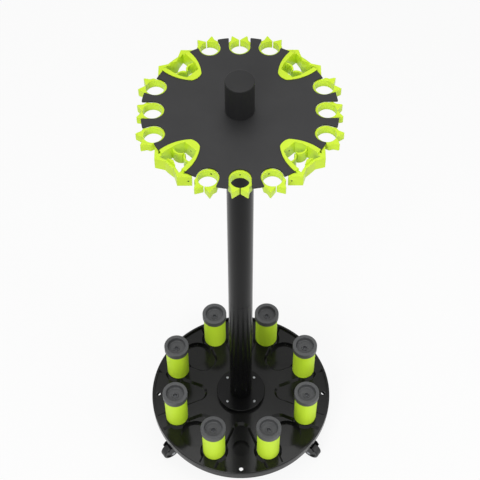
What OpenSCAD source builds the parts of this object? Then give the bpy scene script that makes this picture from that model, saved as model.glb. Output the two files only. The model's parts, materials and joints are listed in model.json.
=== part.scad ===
// Round standing rack for fishing rods: a moulded base on four casters, a
// sectional column, eight rod cups and a steel top plate edged with clips.
// The floor is z = 0, the column stands on the z axis and the front faces -Y.

/* [Casters] */
// Radius of a caster wheel
wheel_r = 21; // [18:0.5:25]
// Width of a caster wheel
wheel_w = 17; // [13:0.5:20]
// Space between the wheel and the fork, above it and on each side
wheel_gap = 1; // [0.6:0.1:2]
// Thickness of the fork's cheeks
cheek_t = 2.5; // [2:0.1:4]
// Thickness of the fork's crown
crown_t = 3.5; // [3:0.1:5]
// Radius of the fork's crown and of the race above it
crown_r = 14; // [12:0.5:16]
// Trail: how far the wheel's axle lies from the kingpin
trail = 18; // [14:0.5:20]
// Radius of the kingpin
kingpin_r = 4; // [3:0.1:5]
// Radius of the wheel's axle
axle_r = 3; // [2.5:0.1:4]
// Height of the bright domed axle ends
axle_head_h = 1.2; // [0.8:0.1:2]
// Height of the race between the crown and the mounting plate
race_h = 3; // [2:0.1:5]
// Free height between the turning crown and the race
race_gap = 1; // [0.5:0.1:2]
// Length of the mounting plate, along the radius of the base
mount_l = 36; // [34:0.5:37]
// Width of the mounting plate
mount_w = 32; // [30:0.5:36]
// Thickness of the mounting plate
mount_t = 2.5; // [2:0.1:4]
// How far the kingpins stand in from the rim of the base
caster_inset = 25; // [24:0.5:40]
// Angle of the casters from the front and from the back of the rack
caster_angle = 55; // [48:0.5:57]

/* [Base] */
// Radius of the base at its top edge
base_r = 200; // [196:0.5:215]
// Height of the skirt of the base tray
tray_h = 18; // [16:0.5:24]
// Height of the support ring that shows below the skirt
ring_h = 14; // [12:0.5:20]
// Wall thickness of the two base mouldings
base_wall = 3; // [2.5:0.1:3.5]
// Gap between the skirt and the support ring inside it
ring_gap = 1; // [0.5:0.1:2]
// How far the support ring reaches up inside the skirt
ring_lip = 6; // [3:0.5:7]
// Width of the flat lip around the pockets of the tray
lip_w = 5; // [4:0.5:7]
// Radius of the rounded top edge of the tray
edge_r = 2; // [1:0.1:2.5]
// Distance of the fine groove in the skirt below the deck
groove_z = 5.3; // [4:0.1:8]
// Width of the groove
groove_w = 0.9; // [0.5:0.1:1.5]
// Depth of the groove
groove_d = 0.6; // [0.3:0.1:1]
// Depth of the deck's eight pockets
pocket_depth = 6; // [4:0.5:7]
// Width of the sloping wall of a pocket
pocket_slope = 5; // [3:0.5:7]
// Width of the ridges between the pockets
ridge_w = 31; // [26:0.5:34]
// Distance of the front, back and side pockets' arches from the column's axis
arch_main = 76; // [72:0.5:84]
// Distance of the four corner pockets' arches from the column's axis
arch_corner = 90; // [84:0.5:96]
// Depth of the round wells below the deck
well_depth = 16; // [10:0.5:17]
// Radius of the four small wells
well_main_r = 19; // [14:0.5:22]
// Radius of the four large wells
well_corner_r = 32; // [24:0.5:33]
// How far the small wells stand in from the rim
well_main_inset = 64; // [58:0.5:70]
// How far the large wells stand in from the rim
well_corner_inset = 57; // [54:0.5:60]
// Radius of the four drain and fixing holes near the rim
drain_r = 4.5; // [3:0.1:6]
// How far the drain holes stand in from the rim
drain_inset = 14; // [13:0.5:18]
// Radius of the wide windows in the support ring's floor
window_main_r = 19; // [15:0.5:20]
// How far the wide windows stand in from the rim
window_main_inset = 28; // [26:0.5:32]
// Radius of the small windows in the support ring's floor
window_corner_r = 17; // [10:0.5:17]
// How far the small windows stand in from the rim
window_corner_inset = 88; // [84:0.5:90]
// Thickness of the ribs on the mouldings' hidden sides
rib_t = 2.5; // [2:0.1:4]
// How far the base screws stand in from the rim
base_screw_inset = 95; // [90:0.5:98]

/* [Rod cups] */
// How far the eight cups stand in from the rim of the base
cup_inset = 45.8; // [44:0.2:47]
// Height of the coloured sleeve
sleeve_h = 91; // [60:1:120]
// Outer radius of the sleeve
sleeve_r = 24.5; // [22:0.1:25]
// Wall thickness of the sleeve
sleeve_wall = 2.5; // [1.5:0.1:3.5]
// Outer radius of the cap
cap_r = 27; // [25.5:0.1:29]
// Height of the cap above the sleeve
cap_h = 15; // [12:0.5:25]
// Radius of the dish in the cap that takes a rod's butt
dish_r = 19.7; // [16:0.1:22]
// Depth of the dish
dish_depth = 12; // [8:0.5:13]
// Length of the spigot that holds the cap in the sleeve
spigot_h = 8; // [5:0.5:15]
// Radius of the raised boss in the middle of the dish
dish_boss_r = 7; // [5.5:0.1:9]
// Height of that boss
dish_boss_h = 2; // [1.5:0.1:4]
// Radius of the bolt that holds a cup to the base
post_bolt_r = 2.5; // [2:0.1:3]

/* [Column] */
// Outer radius of the column tubes
column_r = 24.3; // [22:0.1:26]
// Wall thickness of the column tubes
column_wall = 2; // [1.5:0.1:3]
// Length of the lower tube and of the middle tube
tube_l = 380; // [300:1:450]
// Length of the upper tube
upper_tube_l = 190; // [120:1:260]
// Length of the joiners inside the tubes
joiner_l = 80; // [50:1:110]
// Wall thickness of the joiners
joiner_wall = 2.5; // [2:0.1:4]
// Radius of the foot flange
flange_r = 54; // [51:0.5:58]
// Thickness of the foot flange
flange_t = 12; // [6:0.5:16]
// Radius of the foot flange's rounded top edge
flange_edge_r = 1.5; // [0.5:0.1:3]
// Distance of each flange screw from the two planes through the axis
flange_screw_at = 30; // [28:0.5:32]
// Height of the spigots on the foot flange and under the cap post
column_spigot_h = 25; // [15:0.5:40]
// Radius of the tie rod that clamps the column together
tie_rod_r = 5; // [4:0.1:6]
// Height of the cap post above the top plate
post_h = 69; // [50:0.5:90]
// Radius of the cap post's rounded top edge
post_edge_r = 1.5; // [1:0.1:3]

/* [Top plate] */
// Radius of the top plate
plate_r = 162.5; // [160:0.5:165]
// Thickness of the top plate
plate_t = 3; // [2:0.1:4]
// How far the rim stands back beside the corner clips
corner_tab_inset = 7.5; // [6:0.5:9]
// Radius of a rod clip's notch in the plate
notch_r = 18.4; // [18:0.1:19]
// How far the middle notch of each side stands in from the rim
notch_mid_inset = 20.7; // [18:0.1:24]
// How far the outer notches of each side stand in from the rim
notch_side_inset = 14.5; // [13:0.1:16]
// Angle between the middle notch and the outer notches
notch_angle = 20; // [19.5:0.1:20.4]
// Radius of the rounded corners at the notches' mouths
mouth_r = 2; // [1:0.1:2.5]
// Radius of the inner end of the corner clips' notches
corner_notch_r = 20; // [19:0.1:21]
// How far that arc's centre lies in from the rim
corner_notch_inset = 42.3; // [41.5:0.1:43]
// Radius of the two curved flanks of those notches
corner_flank_r = 76.5; // [74:0.5:79]
// Half the width of a corner notch at its widest
corner_mouth_w = 28.3; // [27.5:0.1:28.6]
// How far that widest place lies in from the rim
corner_mouth_inset = 9.5; // [8.5:0.1:11]
// Thickness of the lugs that the clips are screwed to
lug_t = 3; // [2:0.1:4]

/* [Clips] */
// Inner radius of the twelve rod clips
clip_r = 15.7; // [13:0.1:16]
// How far the bore lies outward of the middle of its notch
bore_shift = 1.4; // [1:0.1:2]
// Height of the rod clips
clip_h = 15.5; // [13:0.5:22]
// Width of the slits where a clip's lips meet
slit_w = 1.8; // [0.6:0.1:3]
// How far the lips reach out from the middle of the notch
lip_reach = 27; // [25:0.5:29]
// Half the distance between the tips of the lips
lip_tip_w = 12.4; // [11:0.1:13]
// Height of the corner clips
corner_h = 24; // [18:0.5:30]
// Thickness of the corner clips behind their flat inner wall
corner_back_t = 11.3; // [9:0.1:12]
// How far the corner clips' gate stands in from the rim
corner_gate_inset = 12.9; // [12:0.1:14]
// Thickness of the gate's arms at their tips
arm_t = 3.2; // [2.5:0.1:4]
// Thickness of the corner clips' inner arms
inner_arm_t = 3; // [2:0.1:4]
// How far the arms end below the underside of the plate
arm_drop = 1; // [0.5:0.1:3]
// How far the corner clips' rim laps over the plate
rim_lap = 2; // [1:0.1:3]
// Height of that rim above the plate
rim_h = 2; // [1:0.1:3]
// How far the clip screws lie below the top of a rod clip
clip_screw_drop = 7.5; // [6:0.1:8]
// Radius of the clip screws
clip_screw_r = 1.2; // [1:0.1:1.5]

/* [Clearances] */
// Radial clearance of a pin or an axle that turns in its hole
run_gap = 0.05; // [0.02:0.01:0.1]
// Radial clearance of spigots, joiners and screws
fit_gap = 0.05; // [0.02:0.01:0.1]
// Radial clearance of the tie rod in the plates that it passes
rod_gap = 0.3; // [0.2:0.1:0.6]
// Space between a corner clip and its notch in the plate
notch_gap = 0.2; // [0.1:0.1:0.4]

/* [Hidden] */
$fn = 96;
// A cut reaches this far past the face that it opens
past = 1;
// Radius of a screw's head, as a multiple of its shank's
head_rate = 1.7;
side_count = 4;
cup_count = 8;
cup_step = 360 / cup_count;
rod_clip_count = 12;
caster_count = 4;

plastic_black = "#1c1c1e";
steel_black = "#262626";
plate_grey = "#4a4a4b";
lime = "#c3f135";
cap_grey = "#b4b6b8";
bright_steel = "#c9ccd0";

// Heights, from the floor up
axle_z = wheel_r;
crown_z = 2 * wheel_r + 2 * wheel_gap;
race_z = crown_z + crown_t + race_gap;
mount_z = race_z + race_h;
ring_z = mount_z + mount_t;
part_z = ring_z + ring_h;
deck_z = part_z + tray_h;
flange_top_z = deck_z + flange_t;
seam_1_z = flange_top_z + tube_l;
seam_2_z = seam_1_z + tube_l;
plate_z = seam_2_z + upper_tube_l;
plate_top_z = plate_z + plate_t;
post_top_z = plate_top_z + post_h;
sleeve_top_z = deck_z + sleeve_h;
dish_floor_z = cap_h - dish_depth;
bolt_seat_z = dish_floor_z + dish_boss_h - post_bolt_r;
bolt_head_h = 2;
cap_wall = 2;

// Caster sizes
kingpin_at = base_r - caster_inset;
fork_in = wheel_w / 2 + wheel_gap;
fork_out = fork_in + cheek_t;
kingpin_head_r = 1.4 * kingpin_r;
kingpin_head_h = 1.5;
axle_head_r = 1.5 * axle_r;
cheek_end_r = 8;
cheek_back = 0.75 * crown_r;
cheek_front = trail + 12;
cheek_front_drop = 6;
crown_front = trail + 6;
tread_edge_r = 3;
tread_t = 5;
wheel_hub_t = 3.5;
wheel_recess = 2.5;
mount_screw_r = 1.8;
pad_t = 2 * base_wall;
mount_screw_l = mount_t + pad_t - 1.5;
mount_screw_x = mount_l / 2 - 3.5;
mount_screw_y = mount_w / 2 - 3.5;
pad_r = norm([mount_l, mount_w]) / 2;

// Base sizes
ring_r = base_r - base_wall - ring_gap;
pocket_r = base_r - lip_w;
half_step = cup_step / 2;
slope_rate = pocket_slope / pocket_depth;
cup_pad_r = sleeve_r + 1.5;
well_floor_z = deck_z - well_depth - base_wall;
web_top_z = well_floor_z - 1;
hub_tube_r = 34;
boss_r = 6;
flange_screw_r = 1.8;
flange_head_h = 1.5;
base_screw_r = 2.2;
base_head_r = 2 * base_screw_r;
drain_at = base_r - drain_inset;
well_main_at = base_r - well_main_inset;
well_corner_at = base_r - well_corner_inset;
window_main_at = base_r - window_main_inset;
window_corner_at = base_r - window_corner_inset;
base_screw_at = base_r - base_screw_inset;
cup_circle_r = base_r - cup_inset;
hub_end_gap = base_wall / 2;
cup_boss_start = 2;
tray_rib_start = 4;

// Column sizes
column_bore = column_r - column_wall;
spigot_r = column_bore - fit_gap;
nut_r = 1.8 * tie_rod_r;
nut_h = 8;
nut_collar_r = 1.3 * nut_r;
nut_collar_h = 2;
tie_rod_end = 4;
tie_rod_hole = tie_rod_r + rod_gap;
tie_nut_z = ring_z - nut_h;

// Places on the plate
notch_mid_at = plate_r - notch_mid_inset;
notch_side_at = plate_r - notch_side_inset;
corner_tab_r = plate_r - corner_tab_inset;
corner_notch_at = plate_r - corner_notch_inset;
corner_mouth_at = plate_r - corner_mouth_inset;
corner_apex_at = corner_notch_at - corner_notch_r;
corner_flank_x = corner_flank_r - corner_mouth_w;

// Clip sizes. Each frame has its origin on the rack's axis and +Y outward.
clip_pad_w = 13;
rod_lug_h = clip_h - 2;
rod_wall = notch_r - clip_r + bore_shift;
corner_lug_h = corner_h - 3;
corner_lug_w = 8;
clip_head_r = 1.7;
clip_head_h = 1;
screw_seat = 0.2;
corner_screw_drop = corner_h / 2;

// A rod clip's mouth, from the middle of its notch: the flank, the root of
// the lip behind its tip, the tip's outer edge and the slope's start
flank_bulge = 0.5;
flank_end = 11.5;
lip_root_in = 3.6;
lip_root_at = 16.8;
lip_edge = 1.3;
mouth_wall = 0.6;

// A corner clip's blocks, in the frame of the side that they face
block_back_inset = 32.5;
block_t = 6.5;
block_near = 38.9;
block_l = 24;
block_screw_in = 5.5;
block_back_at = plate_r - block_back_inset;
block_face_at = block_back_at + block_t;
block_from = plate_r / sqrt(2) - block_near;
block_to = block_from + block_l;
block_screw_at = block_from + block_screw_in;

// A corner clip's inside: wall, flanks and gate, from the notch's end outward
corner_wall_at = corner_apex_at + corner_back_t;
corner_gate_at = plate_r - corner_gate_inset;
wall_w = 13.3;
waist_w = 18.6;
waist_at = corner_wall_at + 12;
hip_w = 20.6;
hip_at = corner_wall_at + 24;
gate_w = 22.3;
gate_side_at = corner_gate_at - 1;
gate_root_at = corner_gate_at + 8.9;
gate_bend_w = 10;
gate_bend_at = corner_gate_at + 5.2;

// Its inner arms are arcs that spring from the flanks
inner_arm_r = 13.4;
inner_arm_x = 13;
inner_arm_y = corner_wall_at + 8.3;
inner_arm_tip = 4.5;
inner_arm_root_w = hip_w + 1;

// A half outline on the +X side, closed with its mirror image
function both_halves(half) = concat(
    half,
    [for (i = [len(half) - 1:-1:0]) if (half[i][0] > 0) [-half[i][0], half[i][1]]]
);

// A point of a side's frame, in the frame of the corner to its right
function from_side(along, out) = [(out - along) / sqrt(2), (out + along) / sqrt(2)];

module at_polar(radius, angle) {
    rotate(angle) translate([0, -radius, 0]) children();
}

module ring(r_out, r_in, h) {
    difference() {
        cylinder(r = r_out, h = h);
        translate([0, 0, -past]) cylinder(r = r_in, h = h + 2 * past);
    }
}

// A screw whose head sits at z = 0 and whose shank points down
module pan_screw(head_r, head_h, shank_r, length) {
    cylinder(r = head_r, h = head_h);
    translate([0, 0, -length]) cylinder(r = shank_r, h = length);
}

// The pocket that opens toward -Y. It grows by grow all round and is cut from
// above the deck down to depth below it, with walls that slope inward.
module pocket(arch_at, grow, depth) {
    s = sin(half_step);
    arch_y = (arch_at - ridge_w / 2) / (1 - s);
    arch_r = arch_y * s - ridge_w / 2 + grow;
    blend = 0.3;
    reach = 2 * base_r;
    top = past;
    translate([0, -arch_y, deck_z - depth])
        cylinder(r1 = arch_r + blend - depth * slope_rate, r2 = arch_r + blend + top * slope_rate,
                 h = depth + top);
    intersection() {
        pocket_wedge(reach, grow);
        translate([0, 0, deck_z - depth]) cylinder(r = pocket_r + grow, h = depth + top);
        translate([-reach / 2, -reach, deck_z - reach / 2])
            cube([reach, reach - arch_y + (arch_r - grow) * s, reach]);
    }
}

// The wedge between the sloping sides of two neighbouring ridges
module pocket_wedge(reach, grow) {
    intersection() {
        pocket_side(reach, grow);
        mirror([1, 0, 0]) pocket_side(reach, grow);
    }
}

module pocket_side(reach, grow) {
    rotate(half_step) translate([-ridge_w / 2 + grow, 0, deck_z]) rotate([0, atan(slope_rate), 0])
        translate([-reach, -reach, -reach / 2]) cube([reach, 2 * reach, reach]);
}

module all_pockets(grow, depth) {
    for (i = [0:cup_count - 1])
        rotate(i * cup_step) pocket(i % 2 == 0 ? arch_main : arch_corner, grow, depth);
}

module all_wells(grow, depth, top) {
    for (i = [0:side_count - 1]) {
        at_polar(well_main_at, i * 90)
            translate([0, 0, deck_z - depth]) cylinder(r = well_main_r + grow, h = depth + top);
        at_polar(well_corner_at, i * 90 + 45)
            translate([0, 0, deck_z - depth]) cylinder(r = well_corner_r + grow, h = depth + top);
    }
}

// Sloping round pads that carry the cups on the ridges
module cup_pads() {
    for (i = [0:cup_count - 1])
        at_polar(cup_circle_r, (i + 0.5) * cup_step)
            translate([0, 0, deck_z - 2 * pocket_depth])
                cylinder(r1 = cup_pad_r + 2 * pocket_slope, r2 = cup_pad_r, h = 2 * pocket_depth);
}

module tray_profile() {
    difference() {
        polygon([
            [tie_rod_hole, deck_z - base_wall],
            [base_r - base_wall, deck_z - base_wall],
            [base_r - base_wall, part_z],
            [base_r, part_z],
            [base_r, deck_z],
            [tie_rod_hole, deck_z]
        ]);
        translate([base_r - edge_r, deck_z - edge_r]) difference() {
            square(edge_r + past);
            circle(edge_r);
        }
        translate([base_r - groove_d, deck_z - groove_z - groove_w / 2])
            square([groove_d + past, groove_w]);
    }
}

module base_tray() {
    color(plastic_black) difference() {
        union() {
            rotate_extrude() tray_profile();
            intersection() {
                union() {
                    all_pockets(base_wall, pocket_depth + base_wall);
                    all_wells(base_wall, well_depth + base_wall, 0);
                }
                cylinder(r = base_r - base_wall / 2, h = deck_z - base_wall / 2);
            }
            translate([0, 0, ring_z + base_wall])
                ring(hub_tube_r, hub_tube_r - base_wall, deck_z - ring_z - base_wall - hub_end_gap);
            for (x = [-1, 1], y = [-1, 1])
                translate([x * flange_screw_at, y * flange_screw_at, part_z - base_wall])
                    cylinder(r = boss_r, h = deck_z - part_z);
            for (i = [0:cup_count - 1]) rotate((i + 0.5) * cup_step) tray_ridge_underside();
        }
        difference() {
            all_pockets(0, pocket_depth);
            cup_pads();
        }
        all_wells(0, well_depth, past);
        for (i = [0:side_count - 1])
            at_polar(drain_at, i * 90)
                translate([0, 0, part_z]) cylinder(r = drain_r, h = tray_h);
        for (x = [-1, 1], y = [-1, 1])
            translate([x * flange_screw_at, y * flange_screw_at, part_z])
                cylinder(r = flange_screw_r + fit_gap, h = tray_h + past);
        for (i = [0:cup_count - 1]) rotate((i + 0.5) * cup_step) {
            translate([0, -cup_circle_r, part_z - past])
                cylinder(r = post_bolt_r + fit_gap, h = tray_h + 2 * past);
            translate([0, -base_screw_at, ring_z])
                cylinder(r = base_screw_r + fit_gap, h = ring_h + tray_h / 3);
        }
    }
}

// Bosses for a base screw and a cup's bolt, and the rib that joins them
module tray_ridge_underside() {
    translate([0, -base_screw_at, ring_z + base_wall])
        cylinder(r = boss_r, h = deck_z - ring_z - base_wall - hub_end_gap);
    translate([0, -cup_circle_r, part_z + cup_boss_start])
        cylinder(r = boss_r, h = tray_h - cup_boss_start - base_wall / 2);
    translate([-rib_t / 2, -pocket_r + 2 * base_wall, part_z + tray_rib_start])
        cube([rib_t, pocket_r - 2 * base_wall - hub_tube_r + base_wall / 2,
              tray_h - tray_rib_start - base_wall / 2]);
}

// A rib on the support ring's floor, between two distances from the axis
module ring_web(angle, from, to) {
    rotate(angle) translate([-rib_t / 2, -to, ring_z + base_wall / 2])
        cube([rib_t, to - from, web_top_z - ring_z - base_wall / 2]);
}

module at_casters() {
    for (i = [1:caster_count]) rotate(caster_turn(i)) translate([0, -kingpin_at, 0]) children();
}

function caster_turn(i) = [caster_angle, 180 - caster_angle, 180 + caster_angle, -caster_angle][i - 1];

// The support ring's floor and wall in one profile
module ring_profile() {
    wall_top = ring_z + ring_h + ring_lip;
    polygon([
        [tie_rod_hole, ring_z],
        [ring_r, ring_z],
        [ring_r, wall_top],
        [ring_r - base_wall, wall_top],
        [ring_r - base_wall, ring_z + base_wall],
        [tie_rod_hole, ring_z + base_wall]
    ]);
}

// Round windows in the floor: wide ones under the drain holes, small ones
// between the webs of the corners
module ring_windows() {
    for (i = [0:side_count - 1]) {
        at_polar(window_main_at, i * 90) translate([0, 0, ring_z - past])
            cylinder(r = window_main_r, h = base_wall + 2 * past);
        at_polar(window_corner_at, i * 90 + 45) translate([0, 0, ring_z - past])
            cylinder(r = window_corner_r, h = base_wall + 2 * past);
    }
}

module base_ring() {
    web_from = hub_tube_r + ring_gap;
    web_to = ring_r - base_wall / 2;
    screw_space = boss_r + ring_gap;
    color(plastic_black) difference() {
        union() {
            rotate_extrude() ring_profile();
            for (i = [0:cup_count - 1]) {
                ring_web((i + 0.5) * cup_step, web_from, base_screw_at - screw_space);
                ring_web((i + 0.5) * cup_step, base_screw_at + screw_space, web_to);
            }
            for (i = [1:caster_count]) ring_web(caster_turn(i), web_from, web_to);
            intersection() {
                at_casters() translate([0, 0, ring_z + base_wall / 2])
                    cylinder(r = pad_r, h = pad_t - base_wall / 2);
                cylinder(r = web_to, h = deck_z);
            }
        }
        ring_windows();
        for (i = [0:cup_count - 1]) rotate((i + 0.5) * cup_step)
            translate([0, -base_screw_at, ring_z - past])
                cylinder(r = base_screw_r + rod_gap, h = ring_h);
        at_casters() mount_screw_places()
            translate([0, 0, ring_z - past]) cylinder(r = mount_screw_r + fit_gap, h = pad_t);
    }
}

module base_screws() {
    color(bright_steel) {
        for (i = [0:cup_count - 1]) rotate((i + 0.5) * cup_step)
            translate([0, -base_screw_at, ring_z]) mirror([0, 0, 1])
                pan_screw(base_head_r, base_screw_r, base_screw_r, ring_h);
        at_casters() mount_screw_places()
            translate([0, 0, mount_z]) mirror([0, 0, 1])
                pan_screw(head_rate * mount_screw_r, mount_screw_r, mount_screw_r, mount_screw_l);
    }
}

module foot_flange() {
    color(steel_black) difference() {
        union() {
            rotate_extrude() difference() {
                translate([0, deck_z]) square([flange_r, flange_t]);
                translate([flange_r - flange_edge_r, flange_top_z - flange_edge_r]) difference() {
                    square(flange_edge_r + past);
                    circle(flange_edge_r);
                }
            }
            translate([0, 0, flange_top_z - past]) cylinder(r = spigot_r, h = column_spigot_h + past);
        }
        translate([0, 0, deck_z - past])
            cylinder(r = tie_rod_hole, h = flange_t + column_spigot_h + 2 * past);
        translate([0, 0, flange_top_z])
            cylinder(r = spigot_r - joiner_wall, h = column_spigot_h + past);
        for (x = [-1, 1], y = [-1, 1])
            translate([x * flange_screw_at, y * flange_screw_at, deck_z - past])
                cylinder(r = flange_screw_r + fit_gap, h = flange_t + 2 * past);
    }
}

module flange_screws() {
    color(bright_steel) for (x = [-1, 1], y = [-1, 1])
        translate([x * flange_screw_at, y * flange_screw_at, flange_top_z])
            pan_screw(head_rate * flange_screw_r, flange_head_h, flange_screw_r, tray_h);
}

module column_tube(z, length) {
    color(steel_black) translate([0, 0, z]) ring(column_r, column_bore, length);
}

module tube_joiners() {
    color(bright_steel) for (z = [seam_1_z, seam_2_z])
        translate([0, 0, z - joiner_l / 2]) ring(spigot_r, spigot_r - joiner_wall, joiner_l);
}

module tie_rod() {
    color(bright_steel) translate([0, 0, tie_nut_z - tie_rod_end])
        cylinder(r = tie_rod_r, h = plate_top_z + post_h / 2 - tie_nut_z);
}

module tie_nut() {
    color(bright_steel) translate([0, 0, tie_nut_z]) difference() {
        union() {
            cylinder(r = nut_r, h = nut_h - nut_collar_h, $fn = 6);
            translate([0, 0, nut_h - nut_collar_h]) cylinder(r = nut_collar_r, h = nut_collar_h);
        }
        translate([0, 0, -past]) cylinder(r = tie_rod_r + fit_gap, h = nut_h + 2 * past);
    }
}

module column_cap() {
    color(plastic_black) difference() {
        union() {
            rotate_extrude() difference() {
                translate([0, plate_top_z]) square([column_r, post_h]);
                translate([column_r - post_edge_r, post_top_z - post_edge_r]) difference() {
                    square(post_edge_r + past);
                    circle(post_edge_r);
                }
            }
            translate([0, 0, plate_z - column_spigot_h])
                cylinder(r = spigot_r, h = column_spigot_h + plate_t + past);
        }
        translate([0, 0, plate_z - column_spigot_h - past])
            cylinder(r = tie_rod_r + fit_gap, h = column_spigot_h + plate_t + post_h / 2 + past);
    }
}

// The notch of a rod clip: a round end and straight sides that run out
module rod_notch(at) {
    mouth_y = sqrt(plate_r * plate_r - notch_r * notch_r);
    translate([0, at]) circle(notch_r);
    translate([-notch_r, at]) square([2 * notch_r, plate_r - at + past]);
    for (m = [0, 1]) mirror([m, 0])
        translate([notch_r + mouth_r, mouth_y - mouth_r]) difference() {
            translate([-mouth_r - past, 0]) square([mouth_r + past, mouth_r + past]);
            circle(mouth_r);
        }
}

// A corner notch between two arcs for its flanks and one for its inner end,
// grown by grow all round
module corner_form(grow) {
    shoulder_at = corner_notch_at - corner_notch_r / 3;
    intersection() {
        translate([-corner_flank_x, corner_mouth_at]) circle(corner_flank_r + grow);
        translate([corner_flank_x, corner_mouth_at]) circle(corner_flank_r + grow);
        union() {
            translate([0, corner_notch_at]) circle(corner_notch_r + grow);
            translate([-plate_r / 2, shoulder_at]) square([plate_r, plate_r - shoulder_at + past]);
        }
    }
}

// The rim stands back on both sides of a corner notch
module corner_set_back() {
    set_back_turn = 0.2;
    from = 45 - notch_angle - asin(notch_r / plate_r) + set_back_turn;
    far = plate_r / cos(from) + past;
    difference() {
        polygon([[0, 0], [far * sin(from), far * cos(from)], [-far * sin(from), far * cos(from)]]);
        circle(corner_tab_r);
    }
}

module plate_outline() {
    difference() {
        circle(plate_r);
        circle(spigot_r + fit_gap);
        for (side = [0:side_count - 1]) rotate(side * 90 + 180) {
            rod_notch(notch_mid_at);
            for (a = [-notch_angle, notch_angle]) rotate(a) rod_notch(notch_side_at);
            rotate(45) {
                corner_form(0);
                corner_set_back();
            }
        }
    }
}

module lug(width, face_y, height) {
    translate([-width / 2, face_y - lug_t, plate_z - height]) cube([width, lug_t, height + plate_t / 2]);
}

module lug_hole(face_y, drop) {
    translate([0, face_y + past, plate_z - drop]) rotate([90, 0, 0])
        cylinder(r = clip_screw_r + fit_gap, h = lug_t + 2 * past);
}

// Places each rod clip's frame: outward is +Y, on the front, right, back and left
module at_rod_clip(i) {
    side = floor((i - 1) / 3);
    place = (i - 1) % 3 - 1;
    rotate(180 + side * 90 + place * notch_angle)
        translate([0, rod_clip_at(i), 0]) children();
}

function rod_clip_at(i) = (i - 1) % 3 == 1 ? notch_mid_at : notch_side_at;

module at_corner_clip(i) {
    rotate(225 + (i - 1) * 90) children();
}

// Places a frame on the end block of a corner clip, with +Y out of its face
module at_blocks() {
    for (m = [0, 1]) mirror([m, 0, 0]) rotate(45) translate([block_screw_at, 0, 0]) children();
}

module top_plate() {
    color(plate_grey) difference() {
        union() {
            translate([0, 0, plate_z]) linear_extrude(plate_t) plate_outline();
            for (i = [1:rod_clip_count]) at_rod_clip(i) lug(clip_pad_w, -notch_r, rod_lug_h);
            for (i = [1:side_count]) at_corner_clip(i) {
                lug(clip_pad_w, corner_apex_at, corner_lug_h);
                at_blocks() lug(corner_lug_w, block_back_at, corner_lug_h);
            }
        }
        for (i = [1:rod_clip_count]) at_rod_clip(i) lug_hole(-notch_r, clip_screw_drop);
        for (i = [1:side_count]) at_corner_clip(i) {
            lug_hole(corner_apex_at, clip_screw_drop);
            at_blocks() lug_hole(block_back_at, corner_screw_drop);
        }
    }
}

// Half of a rod clip's mouth: a flank, a fishtail lip and its guiding slope
function clip_mouth() = [
    [notch_r - 1, 0],
    [notch_r + flank_bulge, flank_end],
    [notch_r - lip_root_in, lip_root_at],
    [lip_tip_w + lip_edge, lip_reach - lip_edge],
    [lip_tip_w, lip_reach],
    [0, bore_shift + clip_r + mouth_wall]
];

module rod_clip(i) {
    color(lime) at_rod_clip(i) difference() {
        translate([0, 0, plate_z - clip_h]) linear_extrude(clip_h) difference() {
            union() {
                circle(notch_r);
                translate([-clip_pad_w / 2, -notch_r]) square([clip_pad_w, notch_r / 2]);
                polygon(both_halves(clip_mouth()));
            }
            translate([0, bore_shift]) circle(clip_r);
            translate([-slit_w / 2, 0]) square([slit_w, 2 * notch_r]);
        }
        screw_hole(-notch_r, rod_wall, clip_screw_drop);
    }
}

// A screw hole along Y from a lug's face outward through a wall, with a seat
module screw_hole(face_y, wall, drop) {
    translate([0, face_y - past, plate_z - drop]) rotate([-90, 0, 0])
        cylinder(r = clip_screw_r + fit_gap, h = wall + 2 * past);
    translate([0, face_y + wall - clip_head_h - screw_seat, plate_z - drop]) rotate([-90, 0, 0])
        cylinder(r = clip_head_r + fit_gap, h = clip_head_h + 3 * past);
}

module clip_screw(face_y, wall, drop) {
    translate([0, face_y + wall - clip_head_h - screw_seat, plate_z - drop]) rotate([-90, 0, 0])
        pan_screw(clip_head_r, clip_head_h, clip_screw_r, wall - clip_head_h - screw_seat + lug_t + past);
}

// The end block and the gate's arm of a corner clip, on one side of its middle
function corner_outline() = [
    [wall_w, corner_wall_at],
    [corner_mouth_w - 1, sqrt(2) * block_back_at - corner_mouth_w + 1],
    from_side(block_from, block_back_at),
    from_side(block_from, block_face_at),
    from_side(block_to, block_face_at),
    [0, corner_gate_at + arm_t]
];

// The same for the space inside: flat wall, widening flanks, the gate's arm
function corner_space() = [
    [wall_w, corner_wall_at],
    [waist_w, waist_at],
    [hip_w, hip_at],
    [gate_w, gate_side_at],
    [gate_w, gate_root_at],
    [gate_bend_w, gate_bend_at],
    [0, corner_gate_at]
];

module inner_arm() {
    tip_y = inner_arm_y + inner_arm_tip;
    intersection() {
        translate([inner_arm_x, inner_arm_y]) difference() {
            circle(inner_arm_r + inner_arm_t / 2);
            circle(inner_arm_r - inner_arm_t / 2);
        }
        translate([slit_w / 2, tip_y])
            square([inner_arm_root_w - slit_w / 2, inner_arm_r + inner_arm_t]);
    }
}

// The shell that lies in the notch, cut off at a distance from the axis
module corner_shell(grow, cut_r) {
    difference() {
        intersection() {
            corner_form(grow);
            circle(cut_r);
        }
        polygon(both_halves(corner_space()));
    }
}

// The gate and the blocks, below the shell's own part
module corner_gate() {
    difference() {
        polygon(both_halves(corner_outline()));
        polygon(both_halves(corner_space()));
        translate([-slit_w / 2, corner_gate_at - past]) square([slit_w, arm_t + 2 * past]);
    }
}

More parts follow.
